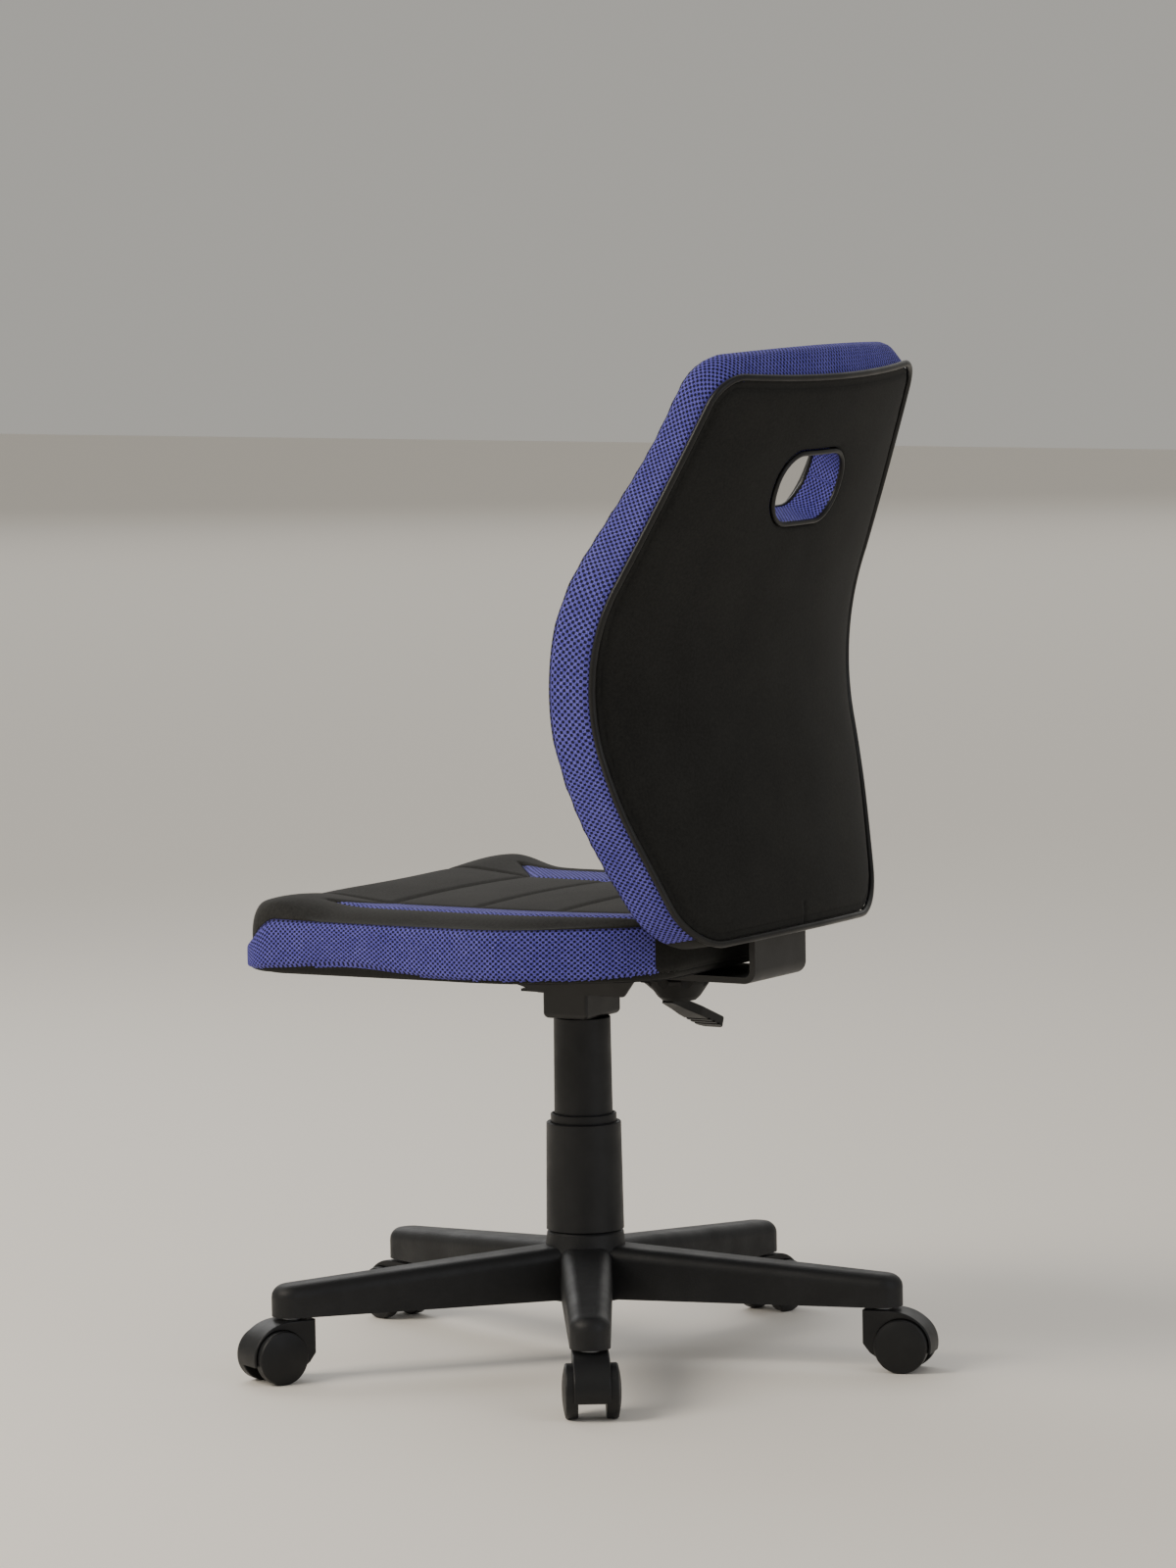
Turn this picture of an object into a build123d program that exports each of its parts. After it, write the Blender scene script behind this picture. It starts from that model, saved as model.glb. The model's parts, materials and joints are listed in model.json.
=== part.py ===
from build123d import *
from math import atan2, cos, degrees, radians, sin, tan
import os

# Swivel chair on five castors, without arms. Millimetres.
# +Z is up, the sitter looks along -Y and +X is the sitter's left.
# The origin is on the floor, under the axis of the gas lift.

os.makedirs("parts", exist_ok=True)

# ---- driving dimensions -------------------------------------------------------------------------

# star base
leg_count = 5
castor_circle = 287.3          # radius from the column to each castor stem
first_leg_angle = 31.5
leg_bottom = 60.0
leg_top_hub = 108.5            # height of the leg's crest where it leaves the hub
leg_top_tip = 90.0
leg_half_root = 24.5
leg_half_tip = 18.6
leg_edge_round = 12.0
leg_wall = 3.6
hub_radius = 36.0
hub_flare = 41.0
hub_top = 123.0

# castors: twin 50 mm wheels under a hood, on a grip-ring stem
wheel_radius = 25.0
wheel_inner = 12.8             # inner and outer faces, from the castor's middle plane
wheel_outer = 26.75
castor_trail = 21.0
castor_twist = (1.5, 1.5, -2.5, 2.5, 12.5)   # how each castor stands off its leg's direction
hood_half_web = 12.3
hood_half_width = 16.75
hood_top = 57.5
stem_radius = 5.5
axle_radius = 3.0
running = 0.05                 # radial clearance of a running fit

# gas lift and its telescopic covers
tube_radius = 25.0
tube_wall = 1.5
tube_bottom = 62.0
tube_top = 245.0
cylinder_radius = 14.0
cylinder_bottom = 125.0
cylinder_top = 352.0
rod_radius = 5.0
race_bottom = 65.6
ball_radius = 2.0
ball_count = 8
ball_circle = 10.0
lower_cover_top = 224.0
middle_cover_top = 232.0
upper_cover_bottom = 165.0
upper_cover_top = 322.5

# mechanism under the seat
socket_width = 63.0            # across the chair
socket_depth = 48.0            # front to back
socket_bottom = 323.0
plate_top = 378.0
plate_steel = 2.5
flange_outer = 52.0
flange_bottom = 350.0
pin_top = 356.5
lever_radius = 4.0
lever_pivot = (-50.75, 30.0, 357.0)
lever_elbow = (-112.0, 30.0, 327.0)
lever_end = (-200.0, 30.0, 293.0)
paddle_thickness = 10.0
knob_y = 105.0
arm_half_width = 47.5
arm_steel = 6.0
arm_bottom = 368.3
depth_travel = 30.0

# seat
seat_front = -237.0
seat_back = 176.5
seat_half_front = 233.0
seat_bottom = 378.2
seat_top = 446.0
band_top = 429.0
band_cloth = 3.0               # thickness of the mesh side band
board_inset = 14.0
board_bottom = 380.0
board_top = 391.0

# backrest: a slab with a bent profile, wrapped about a vertical axis in front of it
wrap_axis_y = -409.0
back_low = 418.0               # lower and upper edge of the rear panel
back_high = 921.0
band_proud = 6.0
back_thickness = 43.0
back_board_depth = 29.5        # from the rear surface to the board
back_board_thickness = 8.0
back_board_inset = 24.0
rear_skin = 3.0
lean_low = -0.187              # slope of the profile below and above the lumbar bend
lean_high = 0.35
bend_height = 665.8
bend_y = 195.6
bend_radius = 280.0
hole_width = 112.0
hole_height = 63.0
hole_centre = 820.0
sleeve = 2.0


# ---- helpers ------------------------------------------------------------------------------------

def turn(*outline):
    """Turn a closed (radius, height) outline about the vertical axis."""
    with BuildSketch(Plane.XZ) as section:
        with BuildLine():
            Polyline(*outline, close=True)
        make_face()
    revolve(section.sketch, axis=Axis.Z)


def ring(inner, outer, low, high):
    """A plain turned ring."""
    turn((inner, low), (outer, low), (outer, high), (inner, high))


def seat_outline(inset, low, high, mode=Mode.ADD):
    """The seat's plan, moved inwards by inset, as a slab from low to high."""
    with BuildSketch(Plane.XY.offset(low)) as plan:
        with BuildLine():
            FilletPolyline(
                (0, seat_back), (140, seat_back), (219, 60), (seat_half_front, seat_front),
                (0, seat_front), radius=[90, 150, 48])
            mirror(about=Plane.YZ)
        make_face()
        if inset:
            offset(amount=-inset, mode=Mode.REPLACE)
    extrude(plan.sketch, amount=high - low, mode=mode)


def back_profile(depth):
    """Corners of the back's side profile, at this depth below its rear surface."""
    low_turn, high_turn = atan2(lean_low, 1), atan2(lean_high, 1)
    half = (high_turn - low_turn) / 2
    middle = (high_turn + low_turn) / 2
    radius_here = -wrap_axis_y
    corner = (radius_here + bend_y - depth * cos(middle) / cos(half),
              bend_height + depth * sin(middle) / cos(half))
    foot, head = 380.0, 970.0
    return ((corner[0] + lean_low * (foot - corner[1]), foot), corner,
            (corner[0] + lean_high * (head - corner[1]), head))


def back_plane(slope):
    """The plane of the back's upper or lower half, its y axis running up the slab."""
    tilt = atan2(slope, 1)
    return Plane(
        origin=(0, bend_y, bend_height), x_dir=(1, 0, 0), z_dir=(0, -cos(tilt), sin(tilt)))


def back_slab(outer_depth, inner_depth, grow, mode=Mode.ADD):
    """A layer of the back between two depths, cut square to the back's outline grown by grow."""
    swing = 28.0
    start = Plane(
        origin=(0, wrap_axis_y, 0),
        x_dir=(sin(radians(-swing)), cos(radians(-swing)), 0),
        z_dir=(cos(radians(-swing)), -sin(radians(-swing)), 0))
    with BuildPart(mode=Mode.PRIVATE) as block:
        for slope, keep in ((lean_high, Align.MIN), (lean_low, Align.MAX)):
            stretch = 1 / cos(atan2(slope, 1))
            low, wide, high = (
                (height - bend_height) * stretch for height in (back_low, 624, back_high))
            with BuildSketch(back_plane(slope)) as outline:
                with BuildLine():
                    FilletPolyline(
                        (0, low), (170.5, low), (252, wide), (177.7, high), (0, high),
                        radius=[60, 343, 34])
                    mirror(about=Plane.YZ)
                make_face()
                if grow:
                    offset(amount=grow, mode=Mode.REPLACE)
                with Locations((0, -50 if keep is Align.MIN else 50)):
                    Rectangle(700, 700, align=(Align.CENTER, keep), mode=Mode.INTERSECT)
            extrude(outline.sketch, amount=170, both=True)
    with BuildPart(mode=Mode.PRIVATE) as layer:
        with BuildSketch(start) as section:
            with BuildLine():
                outer = FilletPolyline(*back_profile(outer_depth), radius=bend_radius + outer_depth)
                inner = FilletPolyline(*back_profile(inner_depth), radius=bend_radius + inner_depth)
                Line(outer @ 0, inner @ 0)
                Line(outer @ 1, inner @ 1)
            make_face()
        revolve(section.sketch, axis=Axis((0, wrap_axis_y, 0), (0, 0, -1)), revolution_arc=2 * swing)
        add(block.part, mode=Mode.INTERSECT)
    add(layer.part, mode=mode)


def handle_hole(grow, mode=Mode.SUBTRACT):
    """The handle hole, square to the back's upper part, grown all round by grow."""
    up_slab = (hole_centre - bend_height) / cos(atan2(lean_high, 1))
    with BuildSketch(back_plane(lean_high)) as mouth:
        with Locations((0, up_slab)):
            RectangleRounded(hole_width + 2 * grow, hole_height + 2 * grow, radius=29 + grow)
    extrude(mouth.sketch, amount=90, both=True, mode=mode)


# ---- star base ----------------------------------------------------------------------------------

leg_slope = (leg_top_hub - leg_top_tip) / (castor_circle - hub_radius)


def crest(x):
    return leg_top_hub - leg_slope * (x - hub_radius)


with BuildPart() as leg:
    with BuildSketch(Plane.XY.offset(leg_bottom)):
        Circle(leg_half_root)
        with Locations((castor_circle, 0)):
            Circle(leg_half_tip)
        make_hull()
    extrude(amount=80)
    with BuildSketch(Plane.XZ):
        end = castor_circle + leg_half_tip + 2
        with BuildLine():
            Polyline((0, leg_bottom), (end, leg_bottom), (end, crest(end)), (0, crest(0)), close=True)
        make_face()
    extrude(amount=60, both=True, mode=Mode.INTERSECT)
    crest_face = leg.faces().sort_by(Axis.Z)[-1]
    fillet([edge for edge in crest_face.edges() if edge.center().X > 5], radius=leg_edge_round)

# ribbed hollow under each leg
with BuildPart() as leg_pocket:
    with BuildSketch(Plane.XY.offset(leg_bottom - 5)):
        Circle(leg_half_root - leg_wall)
        with Locations((castor_circle, 0)):
            Circle(leg_half_tip - leg_wall)
        make_hull()
    extrude(amount=80)
    with BuildSketch(Plane.XZ):
        with BuildLine():
            Polyline(
                (hub_radius + 8, leg_bottom - 5), (castor_circle - 22, leg_bottom - 5),
                (castor_circle - 22, crest(castor_circle - 22) - leg_wall),
                (hub_radius + 8, crest(hub_radius + 8) - leg_wall), close=True)
        make_face()
    extrude(amount=60, both=True, mode=Mode.INTERSECT)
    roof = leg_pocket.faces().sort_by(Axis.Z)[-1]
    fillet([edge for edge in roof.edges() if abs(edge.center().Y) > 5], radius=leg_edge_round - leg_wall)
    for rib_x in (95, 145, 195, 232):
        with Locations((rib_x, 0, 90)):
            Box(2.5, 80, 120, mode=Mode.SUBTRACT)
    with Locations((150, 0, 90)):
        Box(300, 2.5, 120, mode=Mode.SUBTRACT)

with BuildPart() as star_base:
    turn((0, leg_bottom - 1), (hub_flare, leg_bottom - 1), (hub_flare, leg_bottom + 18),
         (hub_radius, hub_top - 3), (hub_radius - 2.5, hub_top), (0, hub_top))
    with PolarLocations(0, leg_count, start_angle=first_leg_angle):
        add(leg.part)
        add(leg_pocket.part, mode=Mode.SUBTRACT)
    # tapered bore for the lift tube
    with BuildSketch(Plane.XZ):
        with BuildLine():
            Polyline((0, 50), (tube_radius - 1.0, 50), (tube_radius - 1.0, tube_bottom),
                     (tube_radius, hub_top - 2), (tube_radius, 130), (0, 130), close=True)
        make_face()
    revolve(axis=Axis.Z, mode=Mode.SUBTRACT)
    # castor sockets
    with PolarLocations(castor_circle, leg_count, start_angle=first_leg_angle):
        with Locations((0, 0, leg_bottom - 1)):
            Cylinder(stem_radius + 0.25, 25, align=(Align.CENTER, Align.CENTER, Align.MIN),
                     mode=Mode.SUBTRACT)
star_base.part.label = "star_base"
export_step(star_base.part, "parts/star_base.step")


# ---- gas lift -----------------------------------------------------------------------------------

with BuildPart() as lift_tube:
    turn((4.2, tube_bottom), (tube_radius - 1.0, tube_bottom), (tube_radius, hub_top - 2),
         (tube_radius, tube_top - 1), (tube_radius - tube_wall, tube_top - 1),
         (tube_radius - tube_wall, hub_top - 2), (tube_radius - 1.0 - tube_wall, race_bottom - 0.1),
         (4.2, race_bottom - 0.1))
lift_tube.part.label = "lift_tube"
export_step(lift_tube.part, "parts/lift_tube.step")

with BuildPart() as guide_bush:
    turn((cylinder_radius + running, 170), (tube_radius - tube_wall, 170),
         (tube_radius - tube_wall, tube_top - 1), (tube_radius, tube_top - 1),
         (tube_radius, tube_top + 1), (cylinder_radius + running, tube_top + 1))
guide_bush.part.label = "guide_bush"
export_step(guide_bush.part, "parts/guide_bush.step")

ball_centre = race_bottom + 1.6 + ball_radius

with BuildPart() as bearing_lower_race:
    ring(5.3, 14, race_bottom, race_bottom + 1.6)
bearing_lower_race.part.label = "bearing_lower_race"
export_step(bearing_lower_race.part, "parts/bearing_lower_race.step")

with BuildPart() as bearing_balls:
    with Locations((0, 0, ball_centre)):
        with PolarLocations(ball_circle, ball_count):
            Sphere(ball_radius - 0.02)
bearing_balls.part.label = "bearing_balls"
export_step(bearing_balls.part, "parts/bearing_balls.step")

with BuildPart() as bearing_upper_race:
    ring(rod_radius, 14, ball_centre + ball_radius, ball_centre + ball_radius + 1.6)
bearing_upper_race.part.label = "bearing_upper_race"
export_step(bearing_upper_race.part, "parts/bearing_upper_race.step")

# rod with its shoulder on the upper race, its clip groove below and the piston on top
shoulder = ball_centre + ball_radius + 1.6
with BuildPart() as piston_rod:
    turn((0, 59.8), (4.1, 59.8), (4.1, 60.4), (3.2, 60.4), (3.2, 61.6), (4.1, 61.6),
         (4.1, shoulder - 1.6), (rod_radius, shoulder - 1.6), (rod_radius, shoulder), (8, shoulder),
         (8, shoulder + 4), (rod_radius, shoulder + 4), (rod_radius, 272),
         (cylinder_radius - 1.6, 272), (cylinder_radius - 1.6, 284), (0, 284))
piston_rod.part.label = "piston_rod"
export_step(piston_rod.part, "parts/piston_rod.step")

with BuildPart() as rod_clip:
    ring(3.2, 8, 60.4, 61.6)
    with Locations((6, 0, 61)):
        Box(10, 3, 3, mode=Mode.SUBTRACT)
rod_clip.part.label = "rod_clip"
export_step(rod_clip.part, "parts/rod_clip.step")

with BuildPart() as gas_cylinder:
    turn((cylinder_radius - 1.5, cylinder_bottom), (cylinder_radius, cylinder_bottom),
         (cylinder_radius, 312), (cylinder_radius - 0.7, cylinder_top), (3.0 + running, cylinder_top),
         (3.0 + running, cylinder_top - 8), (cylinder_radius - 1.5, cylinder_top - 14))
gas_cylinder.part.label = "gas_cylinder"
export_step(gas_cylinder.part, "parts/gas_cylinder.step")

with BuildPart() as rod_guide:
    ring(rod_radius + running, cylinder_radius - 1.5, cylinder_bottom, cylinder_bottom + 14)
rod_guide.part.label = "rod_guide"
export_step(rod_guide.part, "parts/rod_guide.step")

with BuildPart() as release_pin:
    turn((0, 336), (3.0, 336), (3.0, pin_top - 0.8), (2.2, pin_top), (0, pin_top))
release_pin.part.label = "release_pin"
export_step(release_pin.part, "parts/release_pin.step")

# telescopic covers: the middle one rests in the lower one, the upper one hangs from the socket
with BuildPart() as lower_cover:
    turn((31.4, lower_cover_top), (34.2, lower_cover_top), (35.0, lower_cover_top - 0.9),
         (36.4, hub_top + 0.2), (34.9, hub_top + 0.2), (33.6, lower_cover_top - 2.4),
         (31.4, lower_cover_top - 2.4))
lower_cover.part.label = "lower_cover"
export_step(lower_cover.part, "parts/lower_cover.step")

with BuildPart() as middle_cover:
    turn((28.5, middle_cover_top), (30.2, middle_cover_top), (30.8, middle_cover_top - 0.7),
         (30.8, lower_cover_top - 3.5), (32.9, lower_cover_top - 3.5), (32.9, lower_cover_top - 6),
         (31.2, lower_cover_top - 6), (32.6, hub_top + 6), (31.2, hub_top + 6), (29.2, 216),
         (28.5, middle_cover_top - 3))
middle_cover.part.label = "middle_cover"
export_step(middle_cover.part, "parts/middle_cover.step")

with BuildPart() as upper_cover:
    turn((cylinder_radius + 0.2, upper_cover_top), (26.1, upper_cover_top), (26.6, upper_cover_top - 0.6),
         (27.9, upper_cover_bottom), (26.5, upper_cover_bottom), (25.3, upper_cover_top - 2.4),
         (cylinder_radius + 0.2, upper_cover_top - 2.4))
upper_cover.part.label = "upper_cover"
export_step(upper_cover.part, "parts/upper_cover.step")


# ---- mechanism under the seat -------------------------------------------------------------------

with BuildPart() as lift_socket:
    with Locations((0, 0, socket_bottom)):
        Box(socket_width, socket_depth, flange_bottom - socket_bottom,
            align=(Align.CENTER, Align.CENTER, Align.MIN))
    fillet(lift_socket.edges().filter_by(Axis.Z), radius=3)
    fillet(lift_socket.faces().sort_by(Axis.Z)[0].edges(), radius=5)
    with Locations((0, 0, socket_bottom + 2.5)):
        Box(socket_width - 5, socket_depth - 5, 60, align=(Align.CENTER, Align.CENTER, Align.MIN),
            mode=Mode.SUBTRACT)
    ring(10, cylinder_radius + 3, socket_bottom, flange_bottom)
    turn_height = cylinder_top - 312
    taper = [cylinder_radius - 0.7 * (height - 312) / turn_height
             for height in (socket_bottom - 1, flange_bottom + 1)]
    with BuildSketch(Plane.XZ):
        with BuildLine():
            Polyline((0, socket_bottom - 1), (taper[0], socket_bottom - 1), (taper[1], flange_bottom + 1),
                     (0, flange_bottom + 1), close=True)
        make_face()
    revolve(axis=Axis.Z, mode=Mode.SUBTRACT)
lift_socket.part.label = "lift_socket"
export_step(lift_socket.part, "parts/lift_socket.step")

# pressed plate: a top with two deep side flanges and a web that carries the socket
flange_inner = flange_outer - plate_steel
with BuildPart() as seat_plate:
    with BuildSketch(Plane.XY.offset(plate_top - plate_steel)):
        with Locations((0, 6)):
            RectangleRounded(160, 252, radius=14)
    extrude(amount=plate_steel)
    for side in (-1, 1):
        with BuildSketch(Plane.YZ.offset(side * (flange_outer + flange_inner) / 2)):
            with BuildLine():
                FilletPolyline(
                    (-112, plate_top - 1), (-16, flange_bottom), (76, flange_bottom), (96, plate_top - 1),
                    close=True, radius=4)
            make_face()
        extrude(amount=plate_steel / 2, both=True)
    with Locations((0, -8, flange_bottom)):
        Box(2 * flange_inner, 56, plate_steel, align=(Align.CENTER, Align.CENTER, Align.MIN))
    with Locations((0, 0, flange_bottom)):
        Cylinder(cylinder_radius + 0.3, 10, mode=Mode.SUBTRACT)
    # notch that the lever rod rocks in
    with Locations((lever_pivot[0], lever_pivot[1], flange_bottom)):
        Box(12, 10, 23.5, mode=Mode.SUBTRACT)
    with Locations((0, knob_y, plate_top)):
        Cylinder(4 + running, 20, mode=Mode.SUBTRACT)
    with Locations((0, 0, plate_top)):
        with GridLocations(134, 180, 2, 2):
            Cylinder(3.3, 20, mode=Mode.SUBTRACT)
seat_plate.part.label = "seat_plate"
export_step(seat_plate.part, "parts/seat_plate.step")

with BuildPart() as seat_bolts:
    with GridLocations(134, 180, 2, 2):
        with Locations((0, 0, plate_top - plate_steel - 4)):
            Cylinder(6, 4, align=(Align.CENTER, Align.CENTER, Align.MIN))
            Cylinder(3, 18, align=(Align.CENTER, Align.CENTER, Align.MIN))
seat_bolts.part.label = "seat_bolts"
export_step(seat_bolts.part, "parts/seat_bolts.step")

with BuildPart() as seat_tee_nuts:
    with GridLocations(134, 180, 2, 2):
        with Locations((0, 0, board_top)):
            Cylinder(9, 1.4, align=(Align.CENTER, Align.CENTER, Align.MIN))
        with Locations((0, 0, board_bottom + 1)):
            Cylinder(4.2, board_top - board_bottom, align=(Align.CENTER, Align.CENTER, Align.MIN))
            Cylinder(3, 40, mode=Mode.SUBTRACT)
seat_tee_nuts.part.label = "seat_tee_nuts"
export_step(seat_tee_nuts.part, "parts/seat_tee_nuts.step")

# bent rod of the height lever: over the pin, through the flange's notch, down to the paddle
lever_rest = pin_top + lever_radius + 0.25
with BuildPart() as lever_rod:
    with BuildLine():
        FilletPolyline(
            (4, 0, lever_rest), (-16, 0, lever_rest), (-36, 30, 357.5), (-60, 30, 355.5),
            lever_elbow, (-150, 30, 312), radius=[8, 8, 8, 20])
    with BuildSketch(Plane(origin=(4, 0, lever_rest), x_dir=(0, 1, 0), z_dir=(-1, 0, 0))):
        Circle(lever_radius)
    sweep()
    # round boss that rocks in the notch
    with Locations(lever_pivot):
        Cylinder(lever_radius + 0.6, 8, rotation=(90, 0, 0))
lever_rod.part.label = "lever_rod"
export_step(lever_rod.part, "parts/lever_rod.step")

# flat grip moulded over the rod's end
grip_lean = degrees(atan2(lever_elbow[2] - lever_end[2], lever_elbow[0] - lever_end[0]))
grip_plane = Plane(
    origin=lever_elbow, x_dir=(-cos(radians(grip_lean)), 0, -sin(radians(grip_lean))),
    z_dir=(-sin(radians(grip_lean)), 0, cos(radians(grip_lean))))
grip_length = 88.0
with BuildPart() as lever_paddle:
    with BuildSketch(grip_plane.offset(-paddle_thickness / 2)):
        with BuildLine():
            FilletPolyline(
                (-4, -6.5), (22, -9), (42, -12.5), (grip_length - 6, -14), (grip_length, -9),
                (grip_length, 9), (grip_length - 6, 14), (42, 12.5), (22, 9), (-4, 6.5),
                close=True, radius=3)
        make_face()
    extrude(amount=paddle_thickness)
    fillet(lever_paddle.faces().sort_by(Axis(grip_plane.origin, grip_plane.z_dir))[-1].edges(), radius=2.5)
    for notch_x in (56, 65, 74):
        with BuildSketch(grip_plane.offset(-paddle_thickness / 2)):
            with Locations((notch_x, 0)):
                Rectangle(4, 60)
        extrude(amount=1.6, mode=Mode.SUBTRACT)
    add(lever_rod.part, mode=Mode.SUBTRACT)
lever_paddle.part.label = "lever_paddle"
export_step(lever_paddle.part, "parts/lever_paddle.step")

# hand knob with a moulded-in screw that clamps the back bracket to the plate
with BuildPart() as knob_blank:
    turn((0, plate_top - 0.4), (4, plate_top - 0.4), (4, arm_bottom - 0.4), (11, arm_bottom - 0.4),
         (11, arm_bottom - 1.8), (29, arm_bottom - 3.4), (30, arm_bottom - 5), (29, arm_bottom - 8),
         (20, arm_bottom - 21), (16, arm_bottom - 24.5), (0, arm_bottom - 25.5))
    with PolarLocations(34.5, 8):
        with Locations((0, 0, arm_bottom - 15)):
            Cylinder(8, 26, mode=Mode.SUBTRACT)

with BuildPart() as depth_knob:
    with Locations((0, knob_y, 0)):
        add(knob_blank.part)
depth_knob.part.label = "depth_knob"
export_step(depth_knob.part, "parts/depth_knob.step")


# ---- seat ---------------------------------------------------------------------------------------

with BuildPart() as seat_under_cover:
    seat_outline(board_inset, seat_bottom, board_bottom)
    with GridLocations(134, 180, 2, 2):
        with Locations((0, 0, seat_bottom)):
            Cylinder(4.5, 10, mode=Mode.SUBTRACT)
seat_under_cover.part.label = "seat_under_cover"
export_step(seat_under_cover.part, "parts/seat_under_cover.step")

with BuildPart() as seat_board:
    seat_outline(board_inset, board_bottom, board_top)
    with GridLocations(134, 180, 2, 2):
        with Locations((0, 0, board_bottom)):
            Cylinder(4.2, 40, mode=Mode.SUBTRACT)
seat_board.part.label = "seat_board"
export_step(seat_board.part, "parts/seat_board.step")

with BuildPart() as seat_side_band:
    seat_outline(0, seat_bottom, band_top)
    seat_outline(band_cloth, seat_bottom - 1, band_top + 1, mode=Mode.SUBTRACT)
seat_side_band.part.label = "seat_side_band"
export_step(seat_side_band.part, "parts/seat_side_band.step")

# foam and top cover as one soft block over and round the board
with BuildPart() as seat_cushion:
    seat_outline(band_cloth, seat_bottom, band_top)
    seat_outline(0, band_top, seat_top)
    fillet(seat_cushion.faces().sort_by(Axis.Z)[-1].edges(), radius=14)
    seat_outline(board_inset, seat_bottom - 1, board_top, mode=Mode.SUBTRACT)
    with GridLocations(134, 180, 2, 2):
        with Locations((0, 0, board_top)):
            Cylinder(9.2, 3.2, mode=Mode.SUBTRACT)
            Cylinder(4, 12, mode=Mode.SUBTRACT)
seat_cushion.part.label = "seat_cushion"
export_step(seat_cushion.part, "parts/seat_cushion.step")


# ---- backrest -----------------------------------------------------------------------------------

lean = atan2(-lean_low, 1)
arm_top = arm_bottom + arm_steel
upright_y = 213.4 - arm_steel          # front face of the upright
kink = 452.0
tongue_top = 560.0
pad_thickness = 52.0           # over the middle of the back

# bent steel bar: arm under the seat, upright, and a tongue that leans with the board
with BuildPart() as back_bracket:
    with BuildSketch(Plane.YZ):
        with BuildLine():
            middle = arm_bottom + arm_steel / 2
            run = upright_y + arm_steel / 2
            FilletPolyline(
                (22, middle), (run, middle), (run, kink),
                (run + lean_low * (tongue_top - kink), tongue_top), radius=[9, 30])
        trace(line_width=arm_steel)
    extrude(amount=arm_half_width, both=True)
    with BuildSketch(Plane.XY.offset(arm_bottom - 1)):
        with Locations((0, knob_y - depth_travel / 2)):
            SlotCenterToCenter(depth_travel, 9, rotation=90)
    extrude(amount=arm_steel + 2, mode=Mode.SUBTRACT)
    fillet([edge for edge in back_bracket.edges().filter_by(Axis.Z) if edge.center().Y < 30], radius=12)
tongue = Plane(
    origin=(0, run + arm_steel / 2 + lean_low * (505 - kink), 505), x_dir=(1, 0, 0),
    z_dir=(0, cos(lean), sin(lean)))
bolt_grid = (50, 44)
with BuildPart() as bolt_holes:
    with BuildSketch(tongue.offset(-arm_steel - 1)):
        with GridLocations(*bolt_grid, 2, 2):
            Circle(3.3)
    extrude(amount=arm_steel + 2)
with BuildPart() as drilled_bracket:
    add(back_bracket.part)
    add(bolt_holes.part, mode=Mode.SUBTRACT)
drilled_bracket.part.label = "back_bracket"
export_step(drilled_bracket.part, "parts/back_bracket.step")

with BuildPart() as back_bolts:
    with BuildSketch(tongue.offset(0.1)):
        with GridLocations(*bolt_grid, 2, 2):
            Circle(6.5)
    extrude(amount=3.6)
    with BuildSketch(tongue.offset(0.1)):
        with GridLocations(*bolt_grid, 2, 2):
            Circle(3)
    extrude(amount=-arm_steel - 11)
back_bolts.part.label = "back_bolts"
export_step(back_bolts.part, "parts/back_bolts.step")

with BuildPart() as back_tee_nuts:
    with BuildSketch(tongue.offset(-arm_steel - 13.4)):
        with GridLocations(*bolt_grid, 2, 2):
            Circle(9)
    extrude(amount=1.4)
    with BuildSketch(tongue.offset(-arm_steel - 12)):
        with GridLocations(*bolt_grid, 2, 2):
            Circle(4.2)
    extrude(amount=8)
    with BuildSketch(tongue.offset(-arm_steel - 14)):
        with GridLocations(*bolt_grid, 2, 2):
            Circle(3)
    extrude(amount=12, mode=Mode.SUBTRACT)
back_tee_nuts.part.label = "back_tee_nuts"
export_step(back_tee_nuts.part, "parts/back_tee_nuts.step")

with BuildPart() as nut_room:
    with BuildSketch(tongue.offset(-arm_steel - 40)):
        with GridLocations(*bolt_grid, 2, 2):
            Circle(4.2)
    extrude(amount=40)

with BuildPart() as back_board:
    back_slab(back_board_depth, back_board_depth + back_board_thickness, -back_board_inset)
    handle_hole(14)
    add(nut_room.part, mode=Mode.SUBTRACT)
    add(back_bracket.part, mode=Mode.SUBTRACT)
back_board.part.label = "back_board"
export_step(back_board.part, "parts/back_board.step")

with BuildPart() as back_rear_cover:
    back_slab(0, rear_skin, 0)
    handle_hole(sleeve)
back_rear_cover.part.label = "back_rear_cover"
export_step(back_rear_cover.part, "parts/back_rear_cover.step")

with BuildPart() as back_piping:
    back_slab(-2.5, rear_skin, 5)
    back_slab(-6, rear_skin + 5, 0.05, mode=Mode.SUBTRACT)
back_piping.part.label = "back_piping"
export_step(back_piping.part, "parts/back_piping.step")

with BuildPart() as back_side_band:
    back_slab(rear_skin, back_thickness, band_proud)
    back_slab(0, back_thickness + 10, band_proud - band_cloth, mode=Mode.SUBTRACT)
    add(back_bracket.part, mode=Mode.SUBTRACT)
back_side_band.part.label = "back_side_band"
export_step(back_side_band.part, "parts/back_side_band.step")

with BuildPart() as handle_sleeve:
    back_slab(0, pad_thickness, 0)
    handle_hole(sleeve, mode=Mode.INTERSECT)
    handle_hole(0)
handle_sleeve.part.label = "handle_sleeve"
export_step(handle_sleeve.part, "parts/handle_sleeve.step")

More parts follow.
